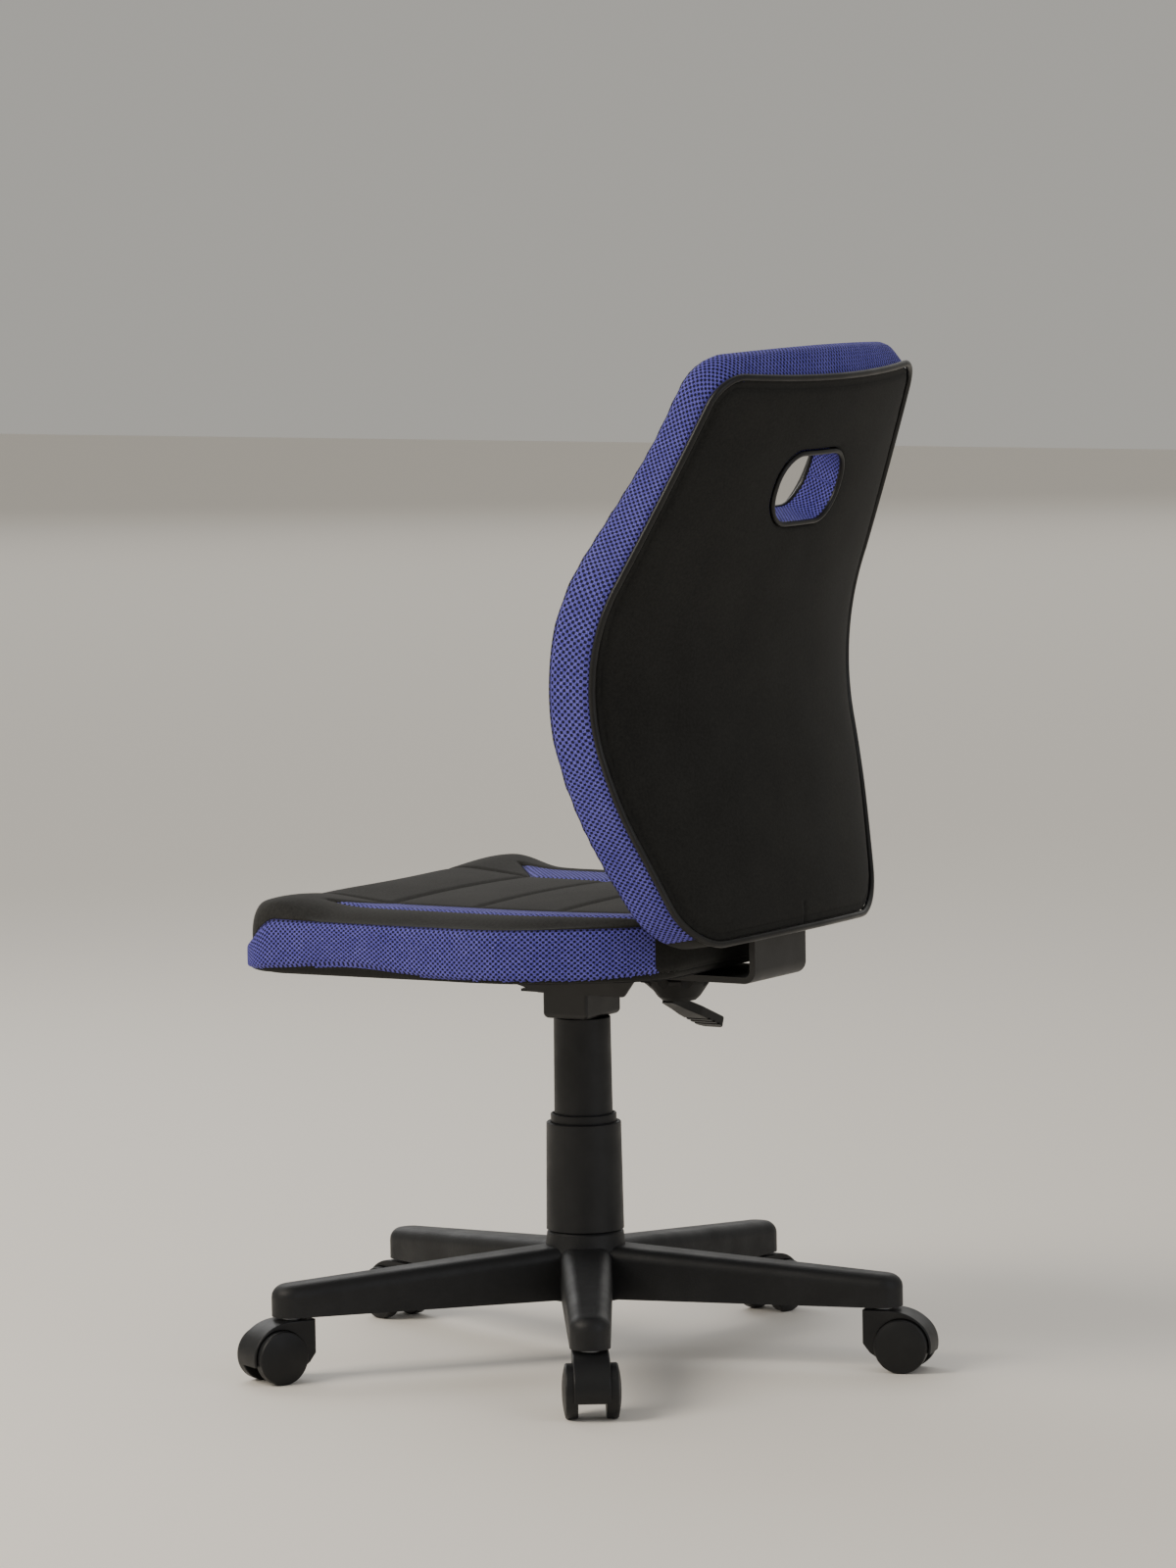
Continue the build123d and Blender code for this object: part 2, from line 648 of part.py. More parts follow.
# foam and front cover as one soft block, with room for the board, the nuts and the bracket
with BuildPart() as back_cushion:
    back_slab(rear_skin, back_thickness, band_proud - band_cloth)
    back_slab(back_thickness, pad_thickness, -30)
    handle_hole(sleeve)
    add(back_board.part, mode=Mode.SUBTRACT)
    add(back_bracket.part, mode=Mode.SUBTRACT)
    add(back_bolts.part, mode=Mode.SUBTRACT)
    add(back_tee_nuts.part, mode=Mode.SUBTRACT)
back_cushion.part.label = "back_cushion"
export_step(back_cushion.part, "parts/back_cushion.step")


# ---- castors ------------------------------------------------------------------------------------

# one castor at the origin, trailing along +X
with BuildPart() as stem_blank:
    turn((0, 36), (stem_radius, 36), (stem_radius, hood_top), (9, hood_top), (9, leg_bottom - 1.4),
         (stem_radius, leg_bottom - 1.4), (stem_radius, 74), (4.4, 74), (4.4, 77.6), (stem_radius, 77.6),
         (stem_radius, 81.4), (stem_radius - 1.2, 82.6), (0, 82.6))

with BuildPart() as grip_ring_blank:
    ring(4.5, stem_radius + 0.25, 74.2, 77.4)
    with Locations((5, 0, 75.8)):
        Box(6, 2.5, 5, mode=Mode.SUBTRACT)

hood_radius = 27.8
well_radius = 26.0
web_bottom = 14.0
with BuildPart() as hood_blank:
    with BuildSketch(Plane.XZ):
        with BuildLine():
            fender_start = (castor_trail + hood_radius * cos(radians(45)),
                            wheel_radius + hood_radius * sin(radians(45)))
            fender_end = (castor_trail + hood_radius * cos(radians(-15)),
                          wheel_radius + hood_radius * sin(radians(-15)))
            fender_lip = (castor_trail + well_radius * cos(radians(-15)),
                          wheel_radius + well_radius * sin(radians(-15)))
            Polyline(fender_lip, (castor_trail + 9, web_bottom), (-3, web_bottom), (-9, 18),
                     (-16, 27), (-16, hood_top), (7, hood_top))
            Spline((7, hood_top), fender_start, tangents=[(1, 0), (1, -1)])
            RadiusArc(fender_start, fender_end, hood_radius)
            Line(fender_end, fender_lip)
        make_face()
    extrude(amount=hood_half_width, both=True)
    for side in (0, -1):
        rim = hood_blank.faces().sort_by(Axis.Y)[side].edges()
        fillet(rim.filter_by(lambda edge: edge.center().Z > 26), radius=1.5)
    for well in (-1, 1):
        with BuildSketch(Plane.XZ.offset(well * hood_half_web)):
            with Locations((castor_trail, wheel_radius)):
                Circle(well_radius)
        extrude(amount=well * 20, mode=Mode.SUBTRACT)
    with BuildSketch(Plane.XZ):
        with Locations((castor_trail, wheel_radius)):
            Circle(axle_radius)
    extrude(amount=30, both=True, mode=Mode.SUBTRACT)
    with Locations((0, 0, 36)):
        Cylinder(stem_radius, 40, align=(Align.CENTER, Align.CENTER, Align.MIN), mode=Mode.SUBTRACT)

with BuildPart() as axle_blank:
    with BuildSketch(Plane.XZ):
        with Locations((castor_trail, wheel_radius)):
            Circle(axle_radius)
    extrude(amount=wheel_outer - 6.2, both=True)

# wheel with its axis on Y, its inner face towards the castor's middle
with BuildPart() as wheel_blank:
    with BuildSketch(Plane.XY):
        with BuildLine():
            Polyline(
                (2, wheel_outer), (0, wheel_outer), (0, wheel_outer - 6),
                (axle_radius + running, wheel_outer - 6), (axle_radius + running, wheel_inner),
                (wheel_radius - 0.8, wheel_inner), (wheel_radius, wheel_inner + 0.8),
                (wheel_radius, wheel_outer - 4.2), (wheel_radius - 0.9, wheel_outer - 2.9))
            ThreePointArc((wheel_radius - 0.9, wheel_outer - 2.9), (14, wheel_outer - 0.8), (2, wheel_outer))
        make_face()
    revolve(axis=Axis.Y)

with BuildPart() as castor_grip_rings:
    for number in range(leg_count):
        leg_angle = first_leg_angle + number * 360 / leg_count
        with Locations(Rotation(0, 0, leg_angle) * Location((castor_circle, 0, 0))):
            add(grip_ring_blank.part)
castor_grip_rings.part.label = "castor_grip_rings"
export_step(castor_grip_rings.part, "parts/castor_grip_rings.step")

for number in range(leg_count):
    leg_angle = first_leg_angle + number * 360 / leg_count
    stand = Rotation(0, 0, leg_angle) * Location((castor_circle, 0, 0)) * Rotation(0, 0, castor_twist[number])
    hub_spot = stand * Location((castor_trail, 0, wheel_radius))
    pieces = (("stem", stem_blank, stand), ("hood", hood_blank, stand), ("axle", axle_blank, stand),
              ("wheel_left", wheel_blank, hub_spot),
              ("wheel_right", wheel_blank, hub_spot * Rotation(180, 0, 0)))
    for piece_name, blank, spot in pieces:
        with BuildPart() as piece:
            with Locations(spot):
                add(blank.part)
        piece.part.label = f"castor_{piece_name}_{number + 1}"
        export_step(piece.part, f"parts/castor_{piece_name}_{number + 1}.step")
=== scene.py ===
import json
import math

import bpy
import numpy as np
from mathutils import Matrix, Vector

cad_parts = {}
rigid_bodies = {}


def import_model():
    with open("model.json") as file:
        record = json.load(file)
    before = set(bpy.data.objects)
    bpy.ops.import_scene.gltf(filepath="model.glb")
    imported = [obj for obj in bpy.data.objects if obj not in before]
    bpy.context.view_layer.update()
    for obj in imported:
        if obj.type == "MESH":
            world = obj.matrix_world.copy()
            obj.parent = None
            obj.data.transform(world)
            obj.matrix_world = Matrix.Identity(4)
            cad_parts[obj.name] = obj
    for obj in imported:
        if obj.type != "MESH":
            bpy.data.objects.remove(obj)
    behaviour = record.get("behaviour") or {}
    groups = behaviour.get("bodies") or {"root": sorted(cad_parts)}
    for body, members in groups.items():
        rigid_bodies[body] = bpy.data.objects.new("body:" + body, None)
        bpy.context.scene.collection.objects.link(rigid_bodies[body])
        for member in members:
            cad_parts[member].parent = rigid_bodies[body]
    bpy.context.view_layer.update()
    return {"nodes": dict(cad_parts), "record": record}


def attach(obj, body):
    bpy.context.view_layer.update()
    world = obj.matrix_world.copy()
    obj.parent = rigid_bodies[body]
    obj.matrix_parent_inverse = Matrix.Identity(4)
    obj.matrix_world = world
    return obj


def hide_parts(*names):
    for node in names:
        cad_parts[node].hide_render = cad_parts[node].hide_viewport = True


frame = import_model()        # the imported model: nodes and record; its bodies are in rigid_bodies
mm = 0.001


# small tools

def hexColour(text):     # sRGB hex to the linear colour that shaders take
    parts = [int(text[i:i + 2], 16) / 255 for i in (1, 3, 5)]
    return tuple(c / 12.92 if c <= 0.04045 else ((c + 0.055) / 1.055) ** 2.4 for c in parts) + (1,)


def addNode(tree, kind, settings=None, inputs=None):
    node = tree.nodes.new(kind)
    for name, value in (settings or {}).items():
        setattr(node, name, value)
    for name, value in (inputs or {}).items():
        if isinstance(value, bpy.types.NodeSocket):
            tree.links.new(value, node.inputs[name])
        else:
            node.inputs[name].default_value = value
    return node


def pickOnly(piece):
    bpy.ops.object.select_all(action="DESELECT")
    piece.select_set(True)
    bpy.context.view_layer.objects.active = piece


def applyAll(piece):     # every modifier, in order
    pickOnly(piece)
    for modifier in list(piece.modifiers):
        bpy.ops.object.modifier_apply(modifier=modifier.name)


def selectPoints(piece, test):   # in object mode, before a step in edit mode
    piece.data.polygons.foreach_set("select", [False] * len(piece.data.polygons))
    piece.data.edges.foreach_set("select", [False] * len(piece.data.edges))
    for vertex in piece.data.vertices:
        vertex.select = test(vertex.co / mm)


def readPoints(piece):
    points = np.empty(len(piece.data.vertices) * 3)
    piece.data.vertices.foreach_get("co", points)
    return points.reshape(-1, 3)


def writePoints(piece, points):
    piece.data.vertices.foreach_set("co", points.ravel())
    piece.data.update()


def readNormals(piece):
    normals = np.empty(len(piece.data.vertices) * 3)
    piece.data.vertices.foreach_get("normal", normals)
    return normals.reshape(-1, 3)


def storeField(piece, name, values):
    field = piece.data.attributes.get(name) or piece.data.attributes.new(name, "FLOAT", "POINT")
    field.data.foreach_set("value", np.asarray(values, np.float32))


def smoothStep(low, high, value):
    t = np.clip((value - low) / (high - low), 0, 1)
    return t * t * (3 - 2 * t)


def duplicate(piece, name):    # a copy with its own mesh
    copy = bpy.data.objects.new(name, piece.data.copy())
    bpy.context.collection.objects.link(copy)
    return copy


def cutAway(piece, point, normal, keepFront=True):   # keep the side that the normal points to
    pickOnly(piece)
    bpy.ops.object.mode_set(mode="EDIT")
    bpy.ops.mesh.select_all(action="SELECT")
    bpy.ops.mesh.bisect(plane_co=point, plane_no=normal, clear_inner=keepFront,
                        clear_outer=not keepFront, use_fill=False)
    bpy.ops.object.mode_set(mode="OBJECT")


def scoreFaces(piece, point, normal):                # add a line of edges along a plane
    pickOnly(piece)
    bpy.ops.object.mode_set(mode="EDIT")
    bpy.ops.mesh.select_all(action="SELECT")
    bpy.ops.mesh.bisect(plane_co=point, plane_no=normal)
    bpy.ops.object.mode_set(mode="OBJECT")


def splitOff(piece, name, test):                     # faces whose middle passes the test
    pickOnly(piece)
    bpy.ops.object.mode_set(mode="EDIT")
    bpy.ops.mesh.select_mode(type="FACE")
    bpy.ops.mesh.select_all(action="DESELECT")
    bpy.ops.object.mode_set(mode="OBJECT")
    middles = np.empty(len(piece.data.polygons) * 3)
    piece.data.polygons.foreach_get("center", middles)
    piece.data.polygons.foreach_set("select", test(middles.reshape(-1, 3)))
    bpy.ops.object.mode_set(mode="EDIT")
    before = set(bpy.data.objects)
    bpy.ops.mesh.separate(type="SELECTED")
    bpy.ops.object.mode_set(mode="OBJECT")
    part = (set(bpy.data.objects) - before).pop()
    part.name = name
    return part


def finishCloth(piece, thickness):                   # cloth layer behind the visible face
    layer = piece.modifiers.new("layer", "SOLIDIFY")
    layer.thickness = thickness
    layer.offset = -1
    applyAll(piece)
    pickOnly(piece)
    bpy.ops.object.shade_smooth()


def paint(piece, material):
    piece.data.materials.clear()
    piece.data.materials.append(material)


def place(piece, body, slot, *nodes):
    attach(piece, body)
    if nodes:
        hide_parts(*nodes)


# padded forms: an outline raised to a block, remeshed, then swollen as sewn cloth

cloth = {"pressure": 4, "frames": 20, "bending": 2, "quickShare": 0.6,
         "free": (1, 7),       # a point is held at a seam and free this far from it, in mm
         "side": 9,            # a point this near the outline is on the pad's side, in mm
         "thickness": 2}       # cloth with its backing, in mm
farOff = 99              # stands for no seam near a point, in mm


def drawOutline(name, corners, height):    # corners are (x, y, rounding), in mm, anticlockwise
    bpy.ops.mesh.primitive_circle_add(vertices=len(corners), fill_type="NGON")
    outline = bpy.context.object
    outline.name = name
    for vertex, (x, y, rounding) in zip(outline.data.vertices, corners):
        vertex.co = (x * mm, y * mm, height * mm)
    for index, (x, y, rounding) in enumerate(corners):
        here = Vector((x, y))
        before = here - Vector(corners[index - 1][:2])
        after = Vector(corners[(index + 1) % len(corners)][:2]) - here
        tangent = rounding * math.tan(before.angle(after) / 2)
        selectPoints(outline, lambda co: (co.xy - here).length < 0.1)
        pickOnly(outline)
        bpy.ops.object.mode_set(mode="EDIT")
        bpy.ops.mesh.select_mode(type="VERT")
        bpy.ops.mesh.bevel(offset=tangent * mm, segments=10, affect="VERTICES")
        bpy.ops.object.mode_set(mode="OBJECT")
    return outline


def traceOutline(outline, spacing=4):      # ordered points round an outline, in mm
    face = outline.data.polygons[0]
    ring = np.array([outline.data.vertices[i].co[:2] for i in face.vertices]) / mm
    ring = np.vstack([ring, ring[:1]])
    lengths = np.r_[0, np.cumsum(np.hypot(*np.diff(ring, axis=0).T))]
    steps = np.linspace(0, lengths[-1], int(lengths[-1] / spacing), endpoint=False)
    return np.column_stack([np.interp(steps, lengths, ring[:, i]) for i in (0, 1)])


def raiseOutline(outline, height, rounding=0):
    pickOnly(outline)
    bpy.ops.object.mode_set(mode="EDIT")
    bpy.ops.mesh.select_mode(type="FACE")
    bpy.ops.mesh.select_all(action="SELECT")
    bpy.ops.mesh.extrude_region_move(TRANSFORM_OT_translate={"value": (0, 0, height * mm)})
    if rounding:                           # the far face is still selected, so its rim is rounded
        bpy.ops.mesh.region_to_loop()
        bpy.ops.mesh.bevel(offset=rounding * mm, segments=5)
    bpy.ops.mesh.select_all(action="SELECT")
    bpy.ops.mesh.normals_make_consistent(inside=False)
    bpy.ops.object.mode_set(mode="OBJECT")


def cutHole(block, cutter):
    hole = block.modifiers.new("hole", "BOOLEAN")
    hole.operation = "DIFFERENCE"
    hole.object = cutter
    applyAll(block)
    bpy.data.objects.remove(cutter)


def remesh(block, voxel):
    grid = block.modifiers.new("voxels", "REMESH")
    grid.mode = "VOXEL"
    grid.voxel_size = voxel * mm
    applyAll(block)


def swell(pad, held, cap):                 # held is 1 on a seam, cap is how far a point may move, in mm
    rest = readPoints(pad)
    group = pad.vertex_groups.new(name="sewn")
    for index in np.nonzero(held > 0.02)[0]:
        group.add([int(index)], float(held[index]), "REPLACE")
    inflate = pad.modifiers.new("swell", "CLOTH")
    inflate.settings.vertex_group_mass = "sewn"
    inflate.settings.use_pressure = True
    inflate.settings.uniform_pressure_force = cloth["pressure"]
    inflate.settings.effector_weights.gravity = 0
    inflate.settings.bending_stiffness = cloth["bending"]
    inflate.collision_settings.use_collision = False
    inflate.point_cache.frame_start = 1
    inflate.point_cache.frame_end = cloth["frames"]
    for step in range(1, cloth["frames"] + 1):
        bpy.context.scene.frame_set(step)
    applyAll(pad)
    moved = readPoints(pad) - rest
    length = np.linalg.norm(moved, axis=1) / mm
    limited = cap * np.tanh(length / np.maximum(cap, 0.01))
    writePoints(pad, rest + moved * (limited / np.maximum(length, 1e-6))[:, None])
    bpy.context.scene.frame_set(1)


def refine(pad):                           # evens out the voxels, then halves the mesh size
    relax = pad.modifiers.new("relax", "SMOOTH")
    relax.factor = 0.5
    relax.iterations = 3
    finer = pad.modifiers.new("finer", "SUBSURF")
    finer.levels = finer.render_levels = 1
    applyAll(pad)


def nearestOnRing(points, ring):           # distance along and away from a closed outline, in mm
    after = np.roll(ring, -1, axis=0)
    span = after - ring
    sizes = np.hypot(*span.T)
    starts = np.r_[0, np.cumsum(sizes)[:-1]]
    best = np.full(len(points), 1e9)
    along = np.zeros(len(points))
    for a, d, size, start in zip(ring, span, sizes, starts):
        t = np.clip(((points - a) @ d) / size ** 2, 0, 1)
        gap = np.hypot(*(points - a - t[:, None] * d).T)
        closer = gap < best
        best[closer] = gap[closer]
        along[closer] = (start + t * size)[closer]
    return along, best, sizes.sum()


def layPattern(piece, along, across, lap=0):         # UV in metres, so a weave keeps its real pitch
    layer = piece.data.uv_layers.new(name="weave")
    loops = np.empty(len(piece.data.loops), np.int32)
    piece.data.loops.foreach_get("vertex_index", loops)
    u, v = along[loops], across[loops]
    if lap:                                # a face across the join carries on past the end
        totals = np.empty(len(piece.data.polygons), np.int32)
        piece.data.polygons.foreach_get("loop_total", totals)
        face = np.repeat(np.arange(len(totals)), totals)
        highest = np.full(len(totals), -1e9)
        np.maximum.at(highest, face, u)
        u = u + lap * (highest[face] - u > lap / 2)
    layer.data.foreach_set("uv", (np.column_stack([u, v]) * mm).ravel().astype(np.float32))


# materials

def startMaterial(name, colour, roughness, metallic=0.0, settings=None):   # one even finish to build on
    material = bpy.data.materials.new(name)
    material.use_nodes = True
    tree = material.node_tree
    shader = tree.nodes["Principled BSDF"]
    shader.inputs["Base Color"].default_value = hexColour(colour)
    shader.inputs["Roughness"].default_value = roughness
    shader.inputs["Metallic"].default_value = metallic
    for socket, value in (settings or {}).items():
        shader.inputs[socket].default_value = value
    return material, tree, shader


# knitted polyester spacer mesh: dark pores 3.5 mm apart in a diamond grid, and yarn that shines softly;
# painted shade darkens it along the seams
def airMesh():
    look = {"yarn": "#393490", "yarnLight": "#7a75d4", "pore": "#0b0a2a", "sheen": "#9a9cf0",
            "pitch": 5, "relief": 1.6, "cloud": 30, "fibre": 0.9}    # sizes in mm
    material, tree, shader = startMaterial(
        "polyester air mesh, blue", look["yarn"], 0.72,
        settings={"Sheen Weight": 0.08, "Sheen Roughness": 0.4, "Specular IOR Level": 0.25})
    shader.inputs["Sheen Tint"].default_value = hexColour(look["sheen"])
    uv = addNode(tree, "ShaderNodeUVMap", {"uv_map": "weave"})
    axes = addNode(tree, "ShaderNodeSeparateXYZ", inputs={"Vector": uv.outputs[0]})
    waves = []
    for axis in ("X", "Y"):
        phase = addNode(tree, "ShaderNodeMath", {"operation": "MULTIPLY"},
                        {0: axes.outputs[axis], 1: 2 * math.pi / (look["pitch"] * mm)})
        waves.append(addNode(tree, "ShaderNodeMath", {"operation": "COSINE"}, {0: phase.outputs[0]}))
    grid = addNode(tree, "ShaderNodeMath", {"operation": "MULTIPLY"},
                   {0: waves[0].outputs[0], 1: waves[1].outputs[0]})
    pores = addNode(tree, "ShaderNodeMapRange", {"interpolation_type": "SMOOTHSTEP"},
                    {"Value": grid.outputs[0], "From Min": -0.1, "From Max": 0.48})
    where = addNode(tree, "ShaderNodeTexCoord")
    patches = addNode(tree, "ShaderNodeTexNoise", inputs={
        "Vector": where.outputs["Object"], "Scale": 1 / (look["cloud"] * mm), "Detail": 2.0})
    fibres = addNode(tree, "ShaderNodeTexNoise", inputs={
        "Vector": where.outputs["Object"], "Scale": 1 / (look["fibre"] * mm), "Detail": 2.0})
    fuzz = addNode(tree, "ShaderNodeMath", {"operation": "MULTIPLY_ADD"},
                   {0: patches.outputs["Fac"], 1: 0.15, 2: fibres.outputs["Fac"]})
    lightness = addNode(tree, "ShaderNodeMapRange", inputs={
        "Value": fuzz.outputs[0], "From Min": 0.42, "From Max": 0.78})
    yarn = addNode(tree, "ShaderNodeMix", {"data_type": "RGBA"}, {
        "Factor": lightness.outputs[0], 6: hexColour(look["yarn"]), 7: hexColour(look["yarnLight"])})
    colour = addNode(tree, "ShaderNodeMix", {"data_type": "RGBA"}, {
        "Factor": pores.outputs[0], 6: yarn.outputs[2], 7: hexColour(look["pore"])})
    # painted shade: the colour darkens towards each seam, to 0.35 of itself on the seam line
    seam = addNode(tree, "ShaderNodeAttribute", {"attribute_name": "seamGap"})
    shade = addNode(tree, "ShaderNodeMapRange", {"interpolation_type": "SMOOTHSTEP"}, {
        "Value": seam.outputs["Fac"], "From Min": 0.4, "From Max": 2.6, "To Min": 0.35, "To Max": 1.0})
    seamShadedColour = addNode(tree, "ShaderNodeMix", {"data_type": "RGBA", "blend_type": "MULTIPLY"}, {
        "Factor": 1.0, 6: colour.outputs[2], 7: shade.outputs[0]})
    tree.links.new(seamShadedColour.outputs[2], shader.inputs["Base Color"])
    relief = addNode(tree, "ShaderNodeBump", {"invert": True}, {
        "Height": pores.outputs[0], "Distance": look["relief"] * mm, "Strength": 0.9})
    tree.links.new(relief.outputs[0], shader.inputs["Normal"])
    return material


# plain-woven polyester: matt, with a faint grid of threads, which is drawn coarser than real so that it
# shows, and painted shade along the seams
def wovenFabric(name, dark, light, pitch, relief):
    slubSize, cloudSize = 2.5, 60          # in mm, as pitch and relief are
    material, tree, shader = startMaterial(
        name, dark, 0.88,
        settings={"Sheen Weight": 0.04, "Sheen Roughness": 0.5, "Specular IOR Level": 0.2})
    uv = addNode(tree, "ShaderNodeUVMap", {"uv_map": "weave"})
    axes = addNode(tree, "ShaderNodeSeparateXYZ", inputs={"Vector": uv.outputs[0]})
    waves = []
    for axis in ("X", "Y"):
        phase = addNode(tree, "ShaderNodeMath", {"operation": "MULTIPLY"},
                        {0: axes.outputs[axis], 1: 2 * math.pi / (pitch * mm)})
        waves.append(addNode(tree, "ShaderNodeMath", {"operation": "SINE"}, {0: phase.outputs[0]}))
    threads = addNode(tree, "ShaderNodeMath", {"operation": "MULTIPLY"},
                      {0: waves[0].outputs[0], 1: waves[1].outputs[0]})
    where = addNode(tree, "ShaderNodeTexCoord")
    slubs = addNode(tree, "ShaderNodeTexNoise", inputs={
        "Vector": where.outputs["Object"], "Scale": 1 / (slubSize * mm), "Detail": 4.0, "Roughness": 0.65})
    patches = addNode(tree, "ShaderNodeTexNoise", inputs={
        "Vector": where.outputs["Object"], "Scale": 1 / (cloudSize * mm), "Detail": 3.0})
    mixed = addNode(tree, "ShaderNodeMath", {"operation": "MULTIPLY_ADD"},
                    {0: threads.outputs[0], 1: 0.16, 2: slubs.outputs["Fac"]})
    uneven = addNode(tree, "ShaderNodeMath", {"operation": "MULTIPLY_ADD"},
                     {0: patches.outputs["Fac"], 1: 0.5, 2: mixed.outputs[0]})
    lightness = addNode(tree, "ShaderNodeMapRange", inputs={
        "Value": uneven.outputs[0], "From Min": 0.45, "From Max": 1.05})
    colour = addNode(tree, "ShaderNodeMix", {"data_type": "RGBA"}, {
        "Factor": lightness.outputs[0], 6: hexColour(dark), 7: hexColour(light)})
    # painted shade: the colour darkens towards each seam, to 0.25 of itself on the seam line
    seam = addNode(tree, "ShaderNodeAttribute", {"attribute_name": "seamGap"})
    shade = addNode(tree, "ShaderNodeMapRange", {"interpolation_type": "SMOOTHSTEP"}, {
        "Value": seam.outputs["Fac"], "From Min": 0.3, "From Max": 2.2, "To Min": 0.25, "To Max": 1.0})
    seamShadedColour = addNode(tree, "ShaderNodeMix", {"data_type": "RGBA", "blend_type": "MULTIPLY"}, {
        "Factor": 1.0, 6: colour.outputs[2], 7: shade.outputs[0]})
    tree.links.new(seamShadedColour.outputs[2], shader.inputs["Base Color"])
    fine = addNode(tree, "ShaderNodeBump", inputs={
        "Height": mixed.outputs[0], "Distance": relief * mm, "Strength": 0.6})
    tree.links.new(fine.outputs[0], shader.inputs["Normal"])
    return material


# spark-textured or smooth moulding: the grain breaks up the gloss, and handling polishes some patches
def mouldedPlastic(name, colour, light, roughness, grain, relief):    # grain and relief in mm
    patchSize = 38
    material, tree, shader = startMaterial(name, colour, roughness, settings={"Specular IOR Level": 0.32})
    where = addNode(tree, "ShaderNodeTexCoord")
    pits = addNode(tree, "ShaderNodeTexNoise", inputs={
        "Vector": where.outputs["Object"], "Scale": 1 / (grain * mm), "Detail": 3.0, "Roughness": 0.6})
    handling = addNode(tree, "ShaderNodeTexNoise", inputs={
        "Vector": where.outputs["Object"], "Scale": 1 / (patchSize * mm), "Detail": 5.0, "Roughness": 0.62})
    tint = addNode(tree, "ShaderNodeMapRange", inputs={
        "Value": handling.outputs["Fac"], "From Min": 0.42, "From Max": 0.78})
    colours = addNode(tree, "ShaderNodeMix", {"data_type": "RGBA"}, {
        "Factor": tint.outputs[0], 6: hexColour(colour), 7: hexColour(light)})
    tree.links.new(colours.outputs[2], shader.inputs["Base Color"])
    polish = addNode(tree, "ShaderNodeMapRange", inputs={
        "Value": handling.outputs["Fac"], "From Min": 0.3, "From Max": 0.7,
        "To Min": roughness + 0.08, "To Max": roughness - 0.06})
    tree.links.new(polish.outputs[0], shader.inputs["Roughness"])
    bump = addNode(tree, "ShaderNodeBump", inputs={
        "Height": pits.outputs["Fac"], "Distance": relief * mm, "Strength": 0.5})
    tree.links.new(bump.outputs[0], shader.inputs["Normal"])
    return material


# zinc plate or powder coat over steel: a faint ripple in the gloss, which varies in clouds
def steel(name, colour, roughness, metallic, ripple):    # ripple in mm
    cloudSize, rippleHeight = 25, 0.12
    material, tree, shader = startMaterial(name, colour, roughness, metallic)
    where = addNode(tree, "ShaderNodeTexCoord")
    skin = addNode(tree, "ShaderNodeTexNoise", inputs={
        "Vector": where.outputs["Object"], "Scale": 1 / (ripple * mm), "Detail": 2.0})
    cloud = addNode(tree, "ShaderNodeTexNoise", inputs={
        "Vector": where.outputs["Object"], "Scale": 1 / (cloudSize * mm), "Detail": 4.0})
    gloss = addNode(tree, "ShaderNodeMapRange", inputs={
        "Value": cloud.outputs["Fac"], "To Min": roughness - 0.1, "To Max": roughness + 0.12})
    tree.links.new(gloss.outputs[0], shader.inputs["Roughness"])
    bump = addNode(tree, "ShaderNodeBump", inputs={
        "Height": skin.outputs["Fac"], "Distance": rippleHeight * mm, "Strength": 0.5})
    tree.links.new(bump.outputs[0], shader.inputs["Normal"])
    return material


# rotary-cut birch: pale, with slow figure along the face
def plywood():
    figureWidth = 14                       # in mm
    material, tree, shader = startMaterial("birch plywood", "#c7a477", 0.6)
    where = addNode(tree, "ShaderNodeTexCoord")
    stretched = addNode(tree, "ShaderNodeMapping", inputs={"Vector": where.outputs["Object"]})
    stretched.inputs["Scale"].default_value = (1, 0.12, 1)
    figure = addNode(tree, "ShaderNodeTexNoise", inputs={
        "Vector": stretched.outputs[0], "Scale": 1 / (figureWidth * mm), "Detail": 5.0, "Distortion": 0.6})
    colour = addNode(tree, "ShaderNodeMix", {"data_type": "RGBA"}, {
        "Factor": figure.outputs["Fac"], 6: hexColour("#b08a5c"), 7: hexColour("#d9bd94")})
    tree.links.new(colour.outputs[2], shader.inputs["Base Color"])
    return material


blueMesh = airMesh()
seatFabric = wovenFabric("woven polyester, seat black", "#1b1b1b", "#323231", 1.7, 0.35)
backFabric = wovenFabric("woven polyester, back black", "#131312", "#252523", 1.7, 0.3)
weltFabric = mouldedPlastic("welt cord, coated black", "#121212", "#1f1f1e", 0.36, 2.2, 0.25)
baseNylon = mouldedPlastic("glass-filled nylon, spark texture", "#131416", "#1d1e20", 0.48, 1.5, 0.5)
castorNylon = mouldedPlastic("nylon, satin moulded", "#101113", "#1a1b1c", 0.44, 2.0, 0.14)
coverPlastic = mouldedPlastic("polypropylene, smooth matt", "#141517", "#1b1c1e", 0.48, 3.0, 0.06)
gripPlastic = mouldedPlastic("polypropylene, matt grip", "#0f0f0f", "#191919", 0.55, 1.4, 0.2)
powderCoat = steel("powder-coated steel, black", "#0f0f10", 0.45, 0.0, 1.6)
zincSteel = steel("zinc-plated steel", "#b9bbbd", 0.35, 1.0, 3.0)
birch = plywood()
lining = mouldedPlastic("spunbonded lining, black", "#1a1a1a", "#2a2a2a", 0.85, 1.8, 0.3)

nodeFinish = {"nylon": baseNylon, "cover_plastic": coverPlastic, "castor_plastic": castorNylon,
              "grip_plastic": gripPlastic, "black_steel": powderCoat, "steel": zincSteel,
              "plywood": birch, "lining": lining, "piping": weltFabric}
for subpart in frame["record"]["subparts"]:
    if subpart["material_slot"] in nodeFinish:
        paint(frame["nodes"][subpart["node"]], nodeFinish[subpart["material_slot"]])
print("materials ready")


# seat, worked flat and then shaped: x to the sitter's left, y to the back, z up, in mm

